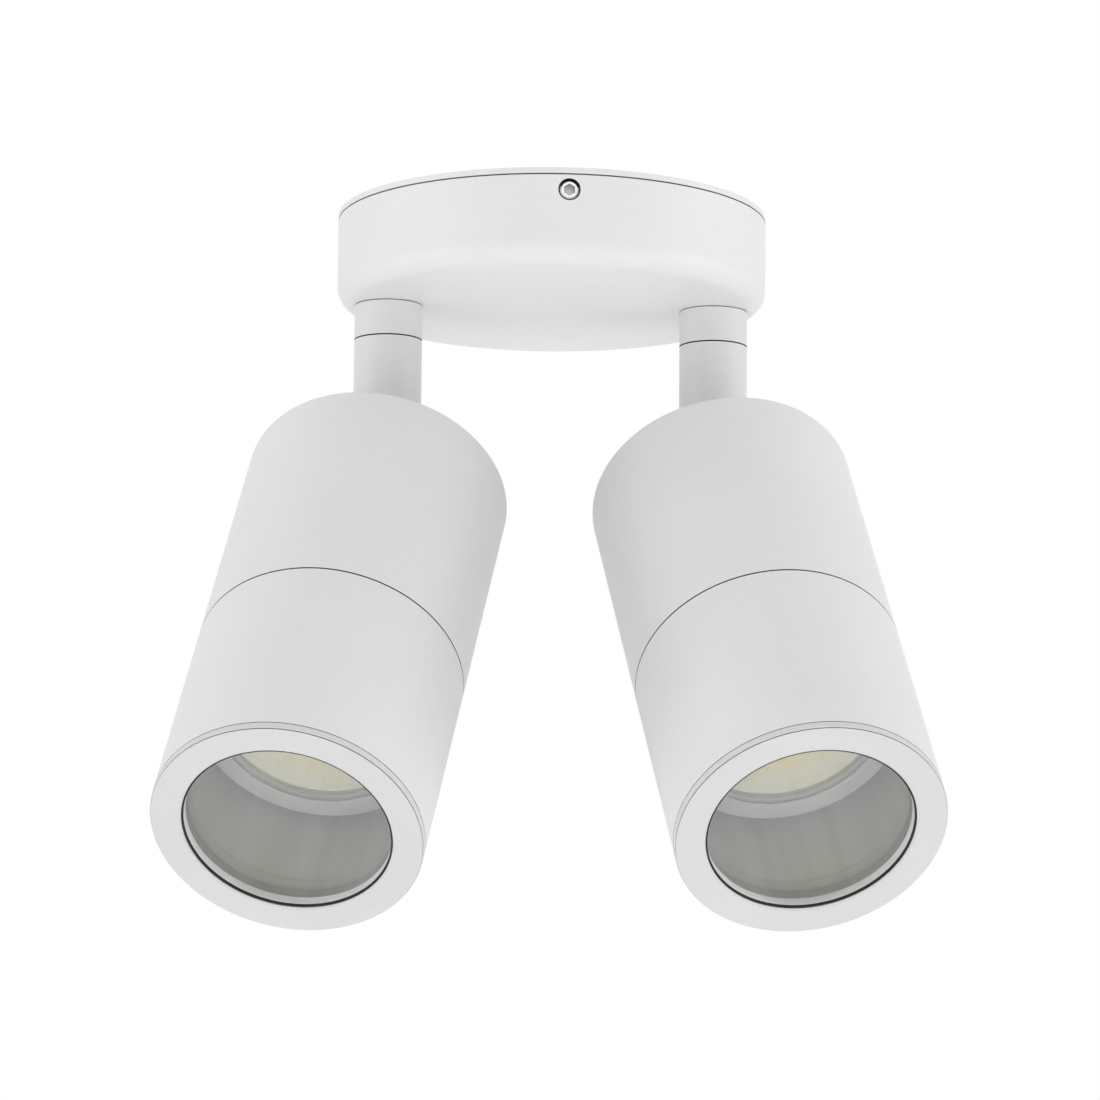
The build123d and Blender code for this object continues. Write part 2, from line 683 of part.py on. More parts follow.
def build_rear_housing(head, lug, name):
    """The rear tube with its end wall, its lug of the knuckle and a spigot for the front tube."""
    shoulder = stem_radius + lap_gap
    lug_height = rear_face_gap + rear_wall / 2
    spigot_front = lamp_ring_depth + lamp_ring_thickness + fit_gap
    with BuildPart() as rear_housing:
        with BuildSketch(head.offset(-stem_radius)):
            Circle(stem_radius)
        extrude(amount=stem_radius + lug_height)
        with BuildSketch(lug):
            Circle(stem_radius)
            Rectangle(2 * stem_radius, lug_height, align=(Align.CENTER, Align.MIN))
        extrude(amount=stem_radius, both=True, mode=Mode.INTERSECT)
        with BuildSketch(lug.offset(lap_gap / 2)):
            with Locations((0, shoulder)):
                Rectangle(2 * shoulder, 2 * shoulder, align=(Align.CENTER, Align.MAX))
        extrude(amount=-(stem_radius + lap_gap), mode=Mode.SUBTRACT)
        # Casing and spigot
        with BuildSketch(at_depth(head, head_length)):
            Circle(head_radius)
        extrude(amount=head_length - seam_depth)
        rear_rim = rear_housing.edges().filter_by(GeomType.CIRCLE).sort_by(SortBy.RADIUS)[-2:]
        fillet(rear_rim.sort_by(axis_of(head))[0], rear_edge_radius)
        with BuildSketch(at_depth(head, seam_depth)):
            Circle(housing_spigot)
        extrude(amount=seam_depth - spigot_front)
        with BuildSketch(at_depth(head, head_length - rear_wall)):
            Circle(housing_bore)
        extrude(amount=head_length - rear_wall - seam_depth - spigot_root, mode=Mode.SUBTRACT)
        with BuildSketch(at_depth(head, seam_depth + spigot_root)):
            Circle(housing_spigot - spigot_wall)
        extrude(amount=seam_depth + spigot_root - spigot_front, mode=Mode.SUBTRACT)
        with BuildSketch(at_depth(head, seam_depth - seam_seal_setback)):
            Circle(tube_rear_bore)
            Circle(seam_seal_track - seam_groove_reach, mode=Mode.SUBTRACT)
        extrude(amount=seam_groove_reach, both=True, mode=Mode.SUBTRACT)
        # The other half of the knuckle chamber, the lead's passage and the bolt's bore
        with BuildSketch(lug.offset(lap_gap / 2)):
            Circle(knuckle_chamber_radius)
        extrude(amount=knuckle_chamber_depth, mode=Mode.SUBTRACT)
        with BuildSketch(head):
            with Locations((lead_offset_x, -lead_offset_y)):
                Circle(lead_radius + lead_passage_gap)
        extrude(amount=rear_face_gap + rear_wall, mode=Mode.SUBTRACT)
        with BuildSketch(lug):
            Circle(bolt_radius + running_gap)
        extrude(amount=stem_radius, mode=Mode.SUBTRACT)
        with BuildSketch(lug.offset(bolt_recess_floor)):
            Circle(bolt_recess_radius)
        extrude(amount=stem_radius, mode=Mode.SUBTRACT)
        # Tapped holes for the feet of the lampholder bracket
        with BuildSketch(head.offset(rear_face_gap + rear_wall)):
            with GridLocations(bracket_span + bracket_foot, 0, 2, 1):
                Circle(small_screw_radius + fit_gap)
        extrude(amount=-(foot_screw_depth + fit_gap), mode=Mode.SUBTRACT)
    finish(rear_housing.part, f"{name}_rear_housing")


def build_front_tube(head, name):
    with BuildPart() as front_tube:
        with BuildSketch(at_depth(head, seam_depth)):
            Circle(head_radius)
        extrude(amount=seam_depth - bezel_band - bezel_line_gap)
        with BuildSketch(at_depth(head, seam_depth)):
            Circle(tube_rear_bore)
        extrude(amount=seam_depth - lamp_ring_depth, mode=Mode.SUBTRACT)
        with BuildSketch(at_depth(head, lamp_ring_depth)):
            Circle(tube_bore)
        extrude(amount=lamp_ring_depth - glass_seat_depth, mode=Mode.SUBTRACT)
        with BuildSketch(at_depth(head, glass_seat_depth)):
            Circle(glass_seat_radius)
        extrude(amount=glass_seat_height, mode=Mode.SUBTRACT)
        with BuildSketch(at_depth(head, mouth_depth)):
            Circle(mouth_bore)
        extrude(amount=mouth_depth, mode=Mode.SUBTRACT)
        with BuildSketch(at_depth(head, seam_depth)):
            Circle(head_radius)
            Circle(head_radius - shadow_depth, mode=Mode.SUBTRACT)
        extrude(amount=shadow_gap, mode=Mode.SUBTRACT)
    finish(front_tube.part, f"{name}_front_tube")

    with BuildPart(at_depth(head, seam_depth - seam_seal_setback)) as seam_seal:
        Torus(seam_seal_track, seam_seal_radius)
    finish(seam_seal.part, f"{name}_seam_seal")


def build_bezel(head, name):
    """The screwed front ring, with what it holds: gasket, ring and glass."""
    with BuildPart() as bezel:
        with BuildSketch(at_depth(head, bezel_band)):
            Circle(head_radius)
        extrude(amount=bezel_band)
        outer_rims = bezel.edges().filter_by(GeomType.CIRCLE)
        fillet(outer_rims.sort_by(axis_of(head))[-1], bezel_edge)
        with BuildSketch(at_depth(head, glass_top)):
            Circle(skirt_radius)
        extrude(amount=glass_top - bezel_band)
        with BuildSketch(at_depth(head, glass_top)):
            Circle(skirt_bore)
        extrude(amount=glass_top - bezel_lip, mode=Mode.SUBTRACT)
        with BuildSketch(at_depth(head, bezel_lip)):
            Circle(bezel_opening_radius)
        extrude(amount=bezel_lip, mode=Mode.SUBTRACT)
        front = bezel.faces().sort_by(axis_of(head))[-1]
        inner_rim = front.edges().sort_by(SortBy.RADIUS)[0]
        chamfer(inner_rim, bezel_bevel_width, bezel_bevel_depth, reference=front)
    finish(bezel.part, f"{name}_bezel")

    with BuildPart() as glass_gasket:
        with BuildSketch(at_depth(head, gasket_top)):
            Circle(glass_radius)
            Circle(gasket_inner_radius, mode=Mode.SUBTRACT)
        extrude(amount=gasket_thickness)
    finish(glass_gasket.part, f"{name}_glass_gasket")

    with BuildPart() as glass_ring:
        with BuildSketch(at_depth(head, glass_ring_top)):
            Circle(glass_radius)
            Circle(glass_ring_inner_radius, mode=Mode.SUBTRACT)
        extrude(amount=glass_ring_height)
        front_rims = glass_ring.faces().sort_by(axis_of(head))[-1].edges()
        chamfer(front_rims.sort_by(SortBy.RADIUS)[0], glass_ring_chamfer)
    finish(glass_ring.part, f"{name}_glass_ring")

    with BuildPart() as front_glass:
        with BuildSketch(at_depth(head, glass_top)):
            Circle(glass_radius)
        extrude(amount=glass_thickness)
        chamfer(front_glass.edges().filter_by(GeomType.CIRCLE), glass_chamfer)
    finish(front_glass.part, f"{name}_front_glass")


def build_lamp(head, name):
    """The lamp ring and the two-pin reflector lamp with its lens."""
    with BuildPart() as lamp_ring:
        with BuildSketch(at_depth(head, lamp_ring_depth + lamp_ring_thickness)):
            Circle(housing_spigot)
            Circle(lamp_ring_inner_radius, mode=Mode.SUBTRACT)
        extrude(amount=lamp_ring_thickness)
        front_rims = lamp_ring.faces().sort_by(axis_of(head))[-1].edges()
        chamfer(front_rims.sort_by(SortBy.RADIUS)[0], lamp_ring_chamfer)
    finish(lamp_ring.part, f"{name}_lamp_ring")

    front = reach - lamp_front
    bowl = [(r * lamp_radius, front - t * lamp_length) for r, t in lamp_bowl_shares]
    with BuildPart() as lamp_body:
        with BuildSketch(profile_plane(head)):
            with BuildLine():
                Polyline(
                    (0, front - lens_recess),
                    (lens_radius, front - lens_recess),
                    (lens_radius, front),
                    (lamp_radius, front),
                    (lamp_radius, front - lamp_rim_height),
                    *bowl,
                    (bowl[-1][0], front - lamp_length),
                    (0, front - lamp_length),
                    close=True,
                )
            make_face()
        revolve(axis=axis_of(head))
        with BuildSketch(head.offset(front - lamp_length)):
            with GridLocations(pin_spacing, 0, 2, 1):
                Circle(pin_neck_radius)
        extrude(amount=-(pin_length - pin_head_length))
        with BuildSketch(head.offset(front - lamp_length - pin_length)):
            with GridLocations(pin_spacing, 0, 2, 1):
                Circle(pin_radius)
        extrude(amount=pin_head_length)
    finish(lamp_body.part, f"{name}_lamp_body")

    seat = front - lens_recess
    edge = lens_radius - fit_gap
    with BuildPart() as lamp_lens:
        with BuildSketch(profile_plane(head)):
            with BuildLine():
                Line((0, seat), (edge, seat))
                Line((edge, seat), (edge, seat + lens_thickness - lens_crown))
                RadiusArc(
                    (edge, seat + lens_thickness - lens_crown),
                    (0, seat + lens_thickness),
                    -(edge**2 + lens_crown**2) / (2 * lens_crown),
                )
                Line((0, seat + lens_thickness), (0, seat))
            make_face()
        revolve(axis=axis_of(head))
    finish(lamp_lens.part, f"{name}_lamp_lens")


def build_lampholder(head, name):
    """The two-pin holder on its bracket, the four screws and the lead that feeds it."""
    front = reach - holder_front
    back = reach - holder_back
    wall_face = rear_face_gap + rear_wall
    with BuildPart() as lampholder:
        with BuildSketch(head.offset(back)):
            RectangleRounded(holder_length, holder_width, holder_edge_radius)
        extrude(amount=holder_height)
        with BuildSketch(head.offset(front)):
            with GridLocations(pin_spacing, 0, 2, 1):
                Circle(pin_radius + holder_pin_gap)
        extrude(amount=-holder_pin_depth, mode=Mode.SUBTRACT)
        with BuildSketch(head.offset(back)):
            with GridLocations(holder_screw_spacing, 0, 2, 1):
                Circle(small_screw_radius + fit_gap)
        extrude(amount=holder_screw_depth + fit_gap, mode=Mode.SUBTRACT)
        with BuildSketch(head.offset(back)):
            with Locations((lead_offset_x, -lead_offset_y)):
                Circle(lead_radius + lead_passage_gap)
        extrude(amount=lead_holder_depth + fit_gap, mode=Mode.SUBTRACT)
    finish(lampholder.part, f"{name}_lampholder")

    with BuildPart() as bracket:
        with BuildSketch(profile_plane(head)):
            with Locations((0, back - bracket_thickness / 2)):
                Rectangle(bracket_span, bracket_thickness)
            with Locations((0, (back + wall_face) / 2)):
                with GridLocations(bracket_span - bracket_thickness, 0, 2, 1):
                    Rectangle(bracket_thickness, back - wall_face)
            with Locations((0, wall_face + bracket_thickness / 2)):
                with GridLocations(bracket_span + bracket_foot - bracket_thickness, 0, 2, 1):
                    Rectangle(bracket_foot + bracket_thickness, bracket_thickness)
        extrude(amount=bracket_width / 2, both=True)
        with BuildSketch(head.offset(back)):
            with GridLocations(holder_screw_spacing, 0, 2, 1):
                Circle(small_screw_radius + fit_gap)
            with Locations((lead_offset_x, -lead_offset_y)):
                Circle(lead_radius + lead_passage_gap)
        extrude(amount=-bracket_thickness, mode=Mode.SUBTRACT)
        with BuildSketch(head.offset(wall_face)):
            with GridLocations(bracket_span + bracket_foot, 0, 2, 1):
                Circle(small_screw_radius + fit_gap)
        extrude(amount=bracket_thickness, mode=Mode.SUBTRACT)
    finish(bracket.part, f"{name}_lampholder_bracket")

    with BuildPart() as lampholder_screws:
        with BuildSketch(head.offset(wall_face + bracket_thickness)):
            with GridLocations(bracket_span + bracket_foot, 0, 2, 1):
                Circle(small_screw_head_radius)
        extrude(amount=small_screw_head_height)
        with BuildSketch(head.offset(wall_face + bracket_thickness)):
            with GridLocations(bracket_span + bracket_foot, 0, 2, 1):
                Circle(small_screw_radius)
        extrude(amount=-(bracket_thickness + foot_screw_depth))
        with BuildSketch(head.offset(back - bracket_thickness)):
            with GridLocations(holder_screw_spacing, 0, 2, 1):
                Circle(small_screw_head_radius)
        extrude(amount=-small_screw_head_height)
        with BuildSketch(head.offset(back - bracket_thickness)):
            with GridLocations(holder_screw_spacing, 0, 2, 1):
                Circle(small_screw_radius)
        extrude(amount=bracket_thickness + holder_screw_depth)
    finish(lampholder_screws.part, f"{name}_lampholder_screws")

    with BuildPart() as head_lead:
        with BuildSketch(head.offset(lead_crossing_gap)):
            with Locations((lead_offset_x, -lead_offset_y)):
                Circle(lead_radius)
        extrude(amount=back + lead_holder_depth - lead_crossing_gap)
    finish(head_lead.part, f"{name}_head_lead")


for name, side, swivel, tilt in (
    ("left", -1, left_swivel_angle, left_tilt_angle),
    ("right", 1, right_swivel_angle, right_tilt_angle),
):
    arm = arm_frame(side * stem_offset, swivel)
    pivot = arm.offset(pivot_height).origin
    head = head_frame(arm, tilt)
    knuckle = Plane(origin=pivot, x_dir=arm.y_dir, z_dir=arm.x_dir)
    lug = Plane(origin=pivot, x_dir=head.z_dir.cross(arm.x_dir), z_dir=arm.x_dir)
    build_canopy_lead(side, name)
    build_collar(arm, name)
    build_stem(arm, knuckle, name)
    build_swivel(arm, name)
    build_knuckle_fixings(knuckle, name)
    build_stem_lead(arm, name)
    build_rear_housing(head, lug, name)
    build_front_tube(head, name)
    build_bezel(head, name)
    build_lamp(head, name)
    build_lampholder(head, name)
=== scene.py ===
import json
from math import cos, pi, radians, sin, tau

import bmesh
import bpy
from mathutils import Matrix, Vector


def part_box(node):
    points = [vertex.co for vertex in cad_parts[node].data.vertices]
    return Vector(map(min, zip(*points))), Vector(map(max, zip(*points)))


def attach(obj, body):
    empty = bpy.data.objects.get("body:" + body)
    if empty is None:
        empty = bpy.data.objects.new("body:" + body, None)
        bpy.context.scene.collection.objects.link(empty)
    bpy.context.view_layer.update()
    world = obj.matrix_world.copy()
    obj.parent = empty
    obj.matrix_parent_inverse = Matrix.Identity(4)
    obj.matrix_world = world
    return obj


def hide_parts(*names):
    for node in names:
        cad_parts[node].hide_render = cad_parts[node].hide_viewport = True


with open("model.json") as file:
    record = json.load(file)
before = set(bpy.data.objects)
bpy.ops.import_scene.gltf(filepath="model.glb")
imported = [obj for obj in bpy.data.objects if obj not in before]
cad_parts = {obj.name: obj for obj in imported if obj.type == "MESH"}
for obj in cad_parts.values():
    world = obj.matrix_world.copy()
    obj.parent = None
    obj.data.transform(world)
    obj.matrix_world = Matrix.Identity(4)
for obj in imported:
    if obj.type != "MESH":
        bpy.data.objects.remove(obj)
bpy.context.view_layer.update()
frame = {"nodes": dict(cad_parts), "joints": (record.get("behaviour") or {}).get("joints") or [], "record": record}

# Twin adjustable spotlight, in metres. Places and main sizes are read from the frame. The sizes
# named here are finer than the solids: small roundings and grooves, surface grain and the studio.

SIDES = ("left", "right")

# Turned meshes
RING_STEPS = 192
ARC_STEPS = 5
LENS_RINGS = 14
SHARP_ANGLE = radians(32)
TINY = 1e-7
# A point this near to a level or a radius counts as on it
NEAR = 0.00002
# Further out than any piece reaches
FAR = 1.0
EVERYWHERE = (-FAR, FAR)

# Roundings and grooves of the collars, the front tubes and the bezels
COLLAR_REBATE = 0.0002
TUBE_ROUND = 0.00015
JOINT_GROOVE = 0.00004
FACE_STEP = 0.00022
BAND_ROUND = 0.00016
BEVEL_ROUND = 0.0001
SKIRT_ROUND = 0.0002

# Levels of grey as seen on a screen, 0 to 255, of the paint, and of the painted shade in the narrow gaps
# Painted light: the canopy and plate get a lighter copy of the heads' white paint
CANOPY_LIT_LEVEL = 234
HEAD_LEVEL = 228
# Painted shade: the bezels get a darker copy of the same white paint
BEZEL_SHADED_LEVEL = 213
RIM_GAP_SHADE_LEVEL = 165
SCREW_HOLE_SHADE_LEVEL = 40
SOCKET_SHADE_LEVEL = 178
STEM_GAP_SHADE_LEVEL = 70
SEAM_GAP_SHADE_LEVEL = 90

# The hex socket lies within this share of the grub screw's radius
SOCKET_SHARE = 0.75

# Painted light: the lens glows faintly in its own cream, though the lamp is not lit, to brighten it deep in its
# tube
LENS_PAINTED_GLOW = 0.14

# How far the powder coat's cloud goes below and above its level of grey
CLOUD_BELOW = 5
CLOUD_ABOVE = 4
# How far a grain takes plastic and ceramic below and above their roughness
SMOOTHER = 0.06
ROUGHER = 0.08
# Streaks along a tube change this much less along it than across it
STREAK_STRETCH = 0.06

# Camera, fitted to the photo
PHOTO_PIXELS = 1100
FOCAL_PIXELS = 6005.6
SENSOR_WIDTH = 36
CAMERA_AZIMUTH = radians(-2.99)
CAMERA_ELEVATION = radians(-10.44)
CAMERA_ROLL = radians(0.54)
CAMERA_DISTANCE = 1.39346
CAMERA_TARGET = Vector((0.00025, 0, -0.07888))

# Studio
FLOOR_DROP = 1.6
FLOOR_SIZE = 14.0
FLOOR_LEVEL = 244
HORIZON_LIGHT = 0.0
ZENITH_LIGHT = 1.03
# How high in the sky the light has its full strength, from 0 at the horizon to 1
FULL_LIGHT_HEIGHT = 0.7
# Each softbox: place, width and height, power in watts
SOFTBOXES = {
    "left_softbox": ((-1.6, -0.6, -0.35), (1.0, 1.4), 8.6),
    "right_softbox": ((1.6, -0.6, -0.35), (1.0, 1.4), 9.4),
    "left_side_softbox": ((-1.8, 0.2, -0.3), (1.0, 1.4), 1.3),
    "right_side_softbox": ((1.8, 0.2, -0.3), (1.0, 1.4), 1.8),
    "front_softbox": ((0, -2.2, -0.1), (1.6, 1.0), 3.2),
    "low_softbox": ((0, -1.6, -1.2), (1.8, 1.0), 5.4),
}


# Places and sizes from the frame


def joint(name):
    return next(j for j in frame["joints"] if j["name"] == name)


def middle(node):
    low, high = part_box(node)
    return (low + high) / 2


def axis_matrix(origin, along, across):
    """Local z runs along, local x lies across."""
    z = along.normalized()
    x = (across - across.dot(z) * z).normalized()
    matrix = Matrix((x, z.cross(x), z)).transposed().to_4x4()
    matrix.translation = origin
    return matrix


def head_matrix(side):
    """Origin on the tilt axis, z towards the glass."""
    tilt = joint(side + "_tilt")
    pivot = Vector(tilt["pos_m"])
    return axis_matrix(pivot, middle(side + "_front_glass") - pivot, -Vector(tilt["axis"]))


def screw_matrix():
    """Origin midway between the two grub screws, z along both, towards the front one."""
    front = [v.co for v in frame["nodes"]["grub_screws"].data.vertices if v.co.y < 0]
    centre = middle("grub_screws")
    return axis_matrix(centre, sum(front, Vector()) / len(front) - centre, Vector((0, 0, 1)))


class Profile:
    """The radii and levels that a node's points have about an axis."""

    def __init__(self, node, matrix):
        back = matrix.inverted()
        points = [back @ v.co for v in frame["nodes"][node].data.vertices]
        self.points = [(p.xy.length, p.z) for p in points]
        self.low = min(h for r, h in self.points)
        self.high = max(h for r, h in self.points)
        self.inner = min(r for r, h in self.points)
        self.outer = max(r for r, h in self.points)

    def at(self, level):
        """The inner and outer radius at one level."""
        radii = [r for r, h in self.points if abs(h - level) < NEAR]
        return min(radii), max(radii)

    def levels(self, radius):
        """The lowest and highest level at one radius."""
        heights = [h for r, h in self.points if abs(r - radius) < NEAR]
        return min(heights), max(heights)


# Mesh building


def rounded(corners):
    """Turns (radius, height, rounding) corners into an outline with small arcs."""
    outline = []
    for i, (r, h, size) in enumerate(corners):
        here = Vector((r, h))
        if not size:
            outline.append(here)
            continue
        before = (Vector(corners[i - 1][:2]) - here).normalized()
        after = (Vector(corners[(i + 1) % len(corners)][:2]) - here).normalized()
        half = before.angle(after) / 2
        centre = here + (before + after).normalized() * size / sin(half)
        arm = here + before * size * cos(half) / sin(half) - centre
        sweep = pi - 2 * half
        if before.cross(after) > 0:
            sweep = -sweep
        for step in range(ARC_STEPS + 1):
            outline.append(centre + Matrix.Rotation(sweep * step / ARC_STEPS, 2) @ arm)
    return outline


def stand_in(bm, node, matrix, body, materials):
    """Makes the turned piece that stands for a node."""
    bmesh.ops.recalc_face_normals(bm, faces=bm.faces)
    for edge in bm.edges:
        edge.smooth = len(edge.link_faces) == 2 and edge.calc_face_angle(0) < SHARP_ANGLE
    for face in bm.faces:
        face.smooth = True
    mesh = bpy.data.meshes.new(node + "_turned")
    bm.to_mesh(mesh)
    bm.free()
    mesh.transform(matrix)
    for material in materials:
        mesh.materials.append(material)
    piece = bpy.data.objects.new(node + "_turned", mesh)
    bpy.context.scene.collection.objects.link(piece)
    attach(piece, body)
    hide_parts(node)


def turn(node, outline, matrix, body, materials, material_of=None):
    """Turns a closed outline of (radius, height) points about the matrix's z, to stand for a node."""
    bm = bmesh.new()
    rings = []
    for r, h in outline:
        angles = [tau * i / RING_STEPS for i in range(RING_STEPS)] if r > TINY else [0]
        rings.append([bm.verts.new((r * cos(angle), r * sin(angle), h)) for angle in angles])
    for i, ring in enumerate(rings):
        following = (i + 1) % len(rings)
        after = rings[following]
        if len(ring) == len(after) == 1:
            continue
        between = (Vector(outline[i]) + Vector(outline[following])) / 2
        for k in range(RING_STEPS):
            n = (k + 1) % RING_STEPS
            corners = [
                ring[k % len(ring)], ring[n % len(ring)],
                after[n % len(after)], after[k % len(after)],
            ]
            face = bm.faces.new(list(dict.fromkeys(corners)))
            if material_of:
                face.material_index = material_of(*between)
    stand_in(bm, node, matrix, body, materials)


# Materials


def tone(red, green, blue):
    """A colour as seen on a screen, 0 to 255, in the renderer's linear values."""

    def linear(value):
        share = value / 255
        return share / 12.92 if share <= 0.04045 else ((share + 0.055) / 1.055) ** 2.4

    return (linear(red), linear(green), linear(blue), 1)


def grey(level):
    return tone(level, level, level)


class Look:
    """One material, with short names for making its nodes."""

    def __init__(self, name, colour, roughness, metallic=0.0):
        self.material = bpy.data.materials.new(name)
        self.material.use_nodes = True
        self.tree = self.material.node_tree
        self.shader = self.tree.nodes["Principled BSDF"]
        self.set("Base Color", colour)
        self.set("Roughness", roughness)
        self.set("Metallic", metallic)
        self.place = self.tree.nodes.new("ShaderNodeTexCoord").outputs["Object"]

    def set(self, socket, value):
        self.shader.inputs[socket].default_value = value

    def link(self, source, target):
        self.tree.links.new(source, target)

    def feed(self, socket, value):
        """Links a node's output to the socket, or sets the socket to a plain value."""
        if isinstance(value, bpy.types.NodeSocket):
            self.link(value, socket)
        else:
            socket.default_value = value

    def drive(self, socket, source):
        self.link(source, self.shader.inputs[socket])

    def math(self, operation, first, second=0.0):
        node = self.tree.nodes.new("ShaderNodeMath")
        node.operation = operation
        self.feed(node.inputs[0], first)
        self.feed(node.inputs[1], second)
        return node.outputs["Value"]

    def blend(self, first, second, share):
        """The sum of both sources, of which the second has the share."""
        parts = [self.math("MULTIPLY", first, 1 - share), self.math("MULTIPLY", second, share)]
        return self.math("ADD", *parts)

    def vector(self, **parts):
        """One vector from sources named X, Y and Z."""
        node = self.tree.nodes.new("ShaderNodeCombineXYZ")
        for name, source in parts.items():
            self.link(source, node.inputs[name])
        return node.outputs["Vector"]

    def stretched(self, stretch):
        """The place, scaled along X, Y and Z."""
        node = self.tree.nodes.new("ShaderNodeMapping")
        node.inputs["Scale"].default_value = stretch
        self.link(self.place, node.inputs["Vector"])
        return node.outputs["Vector"]

    def about(self, matrix):
        """The place in the matrix's own axes, as separate X, Y and Z."""
        back = matrix.inverted()
        node = self.tree.nodes.new("ShaderNodeMapping")
        node.vector_type = "POINT"
        node.inputs["Location"].default_value = back.translation
        node.inputs["Rotation"].default_value = back.to_euler()
        self.link(self.place, node.inputs["Vector"])
        parts = self.tree.nodes.new("ShaderNodeSeparateXYZ")
        self.link(node.outputs["Vector"], parts.inputs["Vector"])
        return parts.outputs

    def radius(self, matrix):
        """The distance from the matrix's z axis."""
        place = self.about(matrix)
        squares = [self.math("MULTIPLY", place[name], place[name]) for name in ("X", "Y")]
        return self.math("SQRT", self.math("ADD", *squares))

    def rings(self, matrix):
        """A place that is the same all round the matrix's z axis, for marks that run round it."""
        return self.vector(X=self.radius(matrix), Z=self.about(matrix)["Z"])

    def noise(self, scale, detail=2.0, place=None):
        node = self.tree.nodes.new("ShaderNodeTexNoise")
        node.inputs["Scale"].default_value = scale
        node.inputs["Detail"].default_value = detail
        self.link(place or self.place, node.inputs["Vector"])
        return node.outputs["Fac"]

    def spread(self, source, low, high, start=0.3, end=0.7):
        """Maps a range of the source, by default a noise's middle, to low and high."""
        node = self.tree.nodes.new("ShaderNodeMapRange")
        values = {"From Min": start, "From Max": end, "To Min": low, "To Max": high}
        for socket, value in values.items():
            node.inputs[socket].default_value = value
        self.link(source, node.inputs["Value"])
        return node.outputs["Result"]

    def ramp(self, source, stops):
        """Colours along a source, as (position, colour) stops."""
        node = self.tree.nodes.new("ShaderNodeValToRGB")
        elements = node.color_ramp.elements
        while len(elements) < len(stops):
            elements.new(1)
        for element, (position, colour) in zip(elements, stops):
            element.position = position
            element.color = colour
        self.link(source, node.inputs["Fac"])
        return node.outputs["Color"]

    def shades(self, source, dark, pale, start=0.3, end=0.7):
        """From dark to pale over a range of the source, by default a noise's middle."""
        return self.ramp(source, [(start, dark), (end, pale)])

    def mix(self, share, first, second):
        """Goes from one colour to the other with the share."""
        node = self.tree.nodes.new("ShaderNodeMix")
        node.data_type = "RGBA"
        self.link(share, node.inputs["Factor"])
        colours = {s.name: s for s in node.inputs if s.type == "RGBA"}
        self.feed(colours["A"], first)
        self.feed(colours["B"], second)
        return next(s for s in node.outputs if s.type == "RGBA")

    def within(self, matrix, levels, radii):
        """1 between two levels and two radii of the matrix's axis, otherwise 0."""
        inside = 1.0
        for source, (low, high) in ((self.about(matrix)["Z"], levels), (self.radius(matrix), radii)):
            for operation, limit in (("GREATER_THAN", low), ("LESS_THAN", high)):
                inside = self.math("MULTIPLY", inside, self.math(operation, source, limit))
        return inside

    def shaded(self, colour, gaps):
        """The colour, with painted shade: grey inside each gap of (matrix, levels, radii, grey level)."""
        for matrix, levels, radii, level in gaps:
            colour = self.mix(self.within(matrix, levels, radii), colour, grey(level))
        return colour

    def bump(self, source, strength, depth):
        node = self.tree.nodes.new("ShaderNodeBump")
        node.inputs["Strength"].default_value = strength
        node.inputs["Distance"].default_value = depth
        self.link(source, node.inputs["Height"])
        self.drive("Normal", node.outputs["Normal"])

    def coat(self, weight, roughness):
        self.set("Coat Weight", weight)
        self.set("Coat Roughness", roughness)


def powder_coat(name, level, gaps=()):
    """Neutral white powder coat with a fine sand grain, with painted shade where it lies in a narrow gap."""
    look = Look(name, grey(level), roughness=0.45)
    cloud = look.noise(scale=35, detail=3)
    sand = look.noise(scale=2600)
    shade = look.blend(cloud, sand, share=0.7)
    colour = look.shades(shade, grey(level - CLOUD_BELOW), grey(level + CLOUD_ABOVE))
    look.drive("Base Color", look.shaded(colour, gaps))
    look.drive("Roughness", look.spread(sand, low=0.36, high=0.54))
    look.bump(sand, strength=0.35, depth=0.00006)
    return look.material


def turned_metal(name, dark, pale, matrix):
    """Pale satin metal with fine marks left by turning about the matrix's axis."""
    look = Look(name, pale, roughness=0.4)
    marks = look.noise(scale=9000, place=look.rings(matrix))
    cloud = look.noise(scale=120)
    shade = look.blend(marks, cloud, share=0.5)
    look.drive("Base Color", look.shades(shade, dark, pale, start=0.35, end=0.65))
    look.drive("Roughness", look.spread(marks, low=0.34, high=0.48))
    look.bump(marks, strength=0.15, depth=0.00002)
    return look.material


def drawn_metal(name, dark, pale, matrix):
    """The bare inside of a tube, with soft streaks along it."""
    look = Look(name, pale, roughness=0.35, metallic=0.25)
    place = look.about(matrix)
    along = look.math("MULTIPLY", place["Z"], STREAK_STRETCH)
    streaks = look.noise(scale=160, place=look.vector(X=place["X"], Y=place["Y"], Z=along))
    look.drive("Base Color", look.shades(streaks, dark, pale))
    look.drive("Roughness", look.spread(streaks, low=0.3, high=0.42))
    look.bump(streaks, strength=0.15, depth=0.00003)
    return look.material


def plated_steel(name, gaps=()):
    """Bright zinc plate with a faint cloud and fine scratches, and painted shade in the gaps given."""
    look = Look(name, tone(232, 232, 230), roughness=0.3, metallic=1.0)
    cloud = look.noise(scale=220, detail=3)
    scratches = look.noise(scale=900, place=look.stretched((1, 1, 6)))
    colour = look.shades(cloud, tone(222, 222, 219), tone(241, 241, 240))
    look.drive("Base Color", look.shaded(colour, gaps))
    look.drive("Roughness", look.spread(scratches, low=0.22, high=0.38))
    look.bump(scratches, strength=0.1, depth=0.00002)
    return look.material


def brass():
    """Plain brass with a faint cloud."""
    look = Look("brass", tone(201, 166, 99), roughness=0.3, metallic=1.0)
    cloud = look.noise(scale=260, detail=3)
    look.drive("Base Color", look.shades(cloud, tone(184, 146, 82), tone(212, 178, 112)))
    look.drive("Roughness", look.spread(cloud, low=0.24, high=0.4))
    return look.material


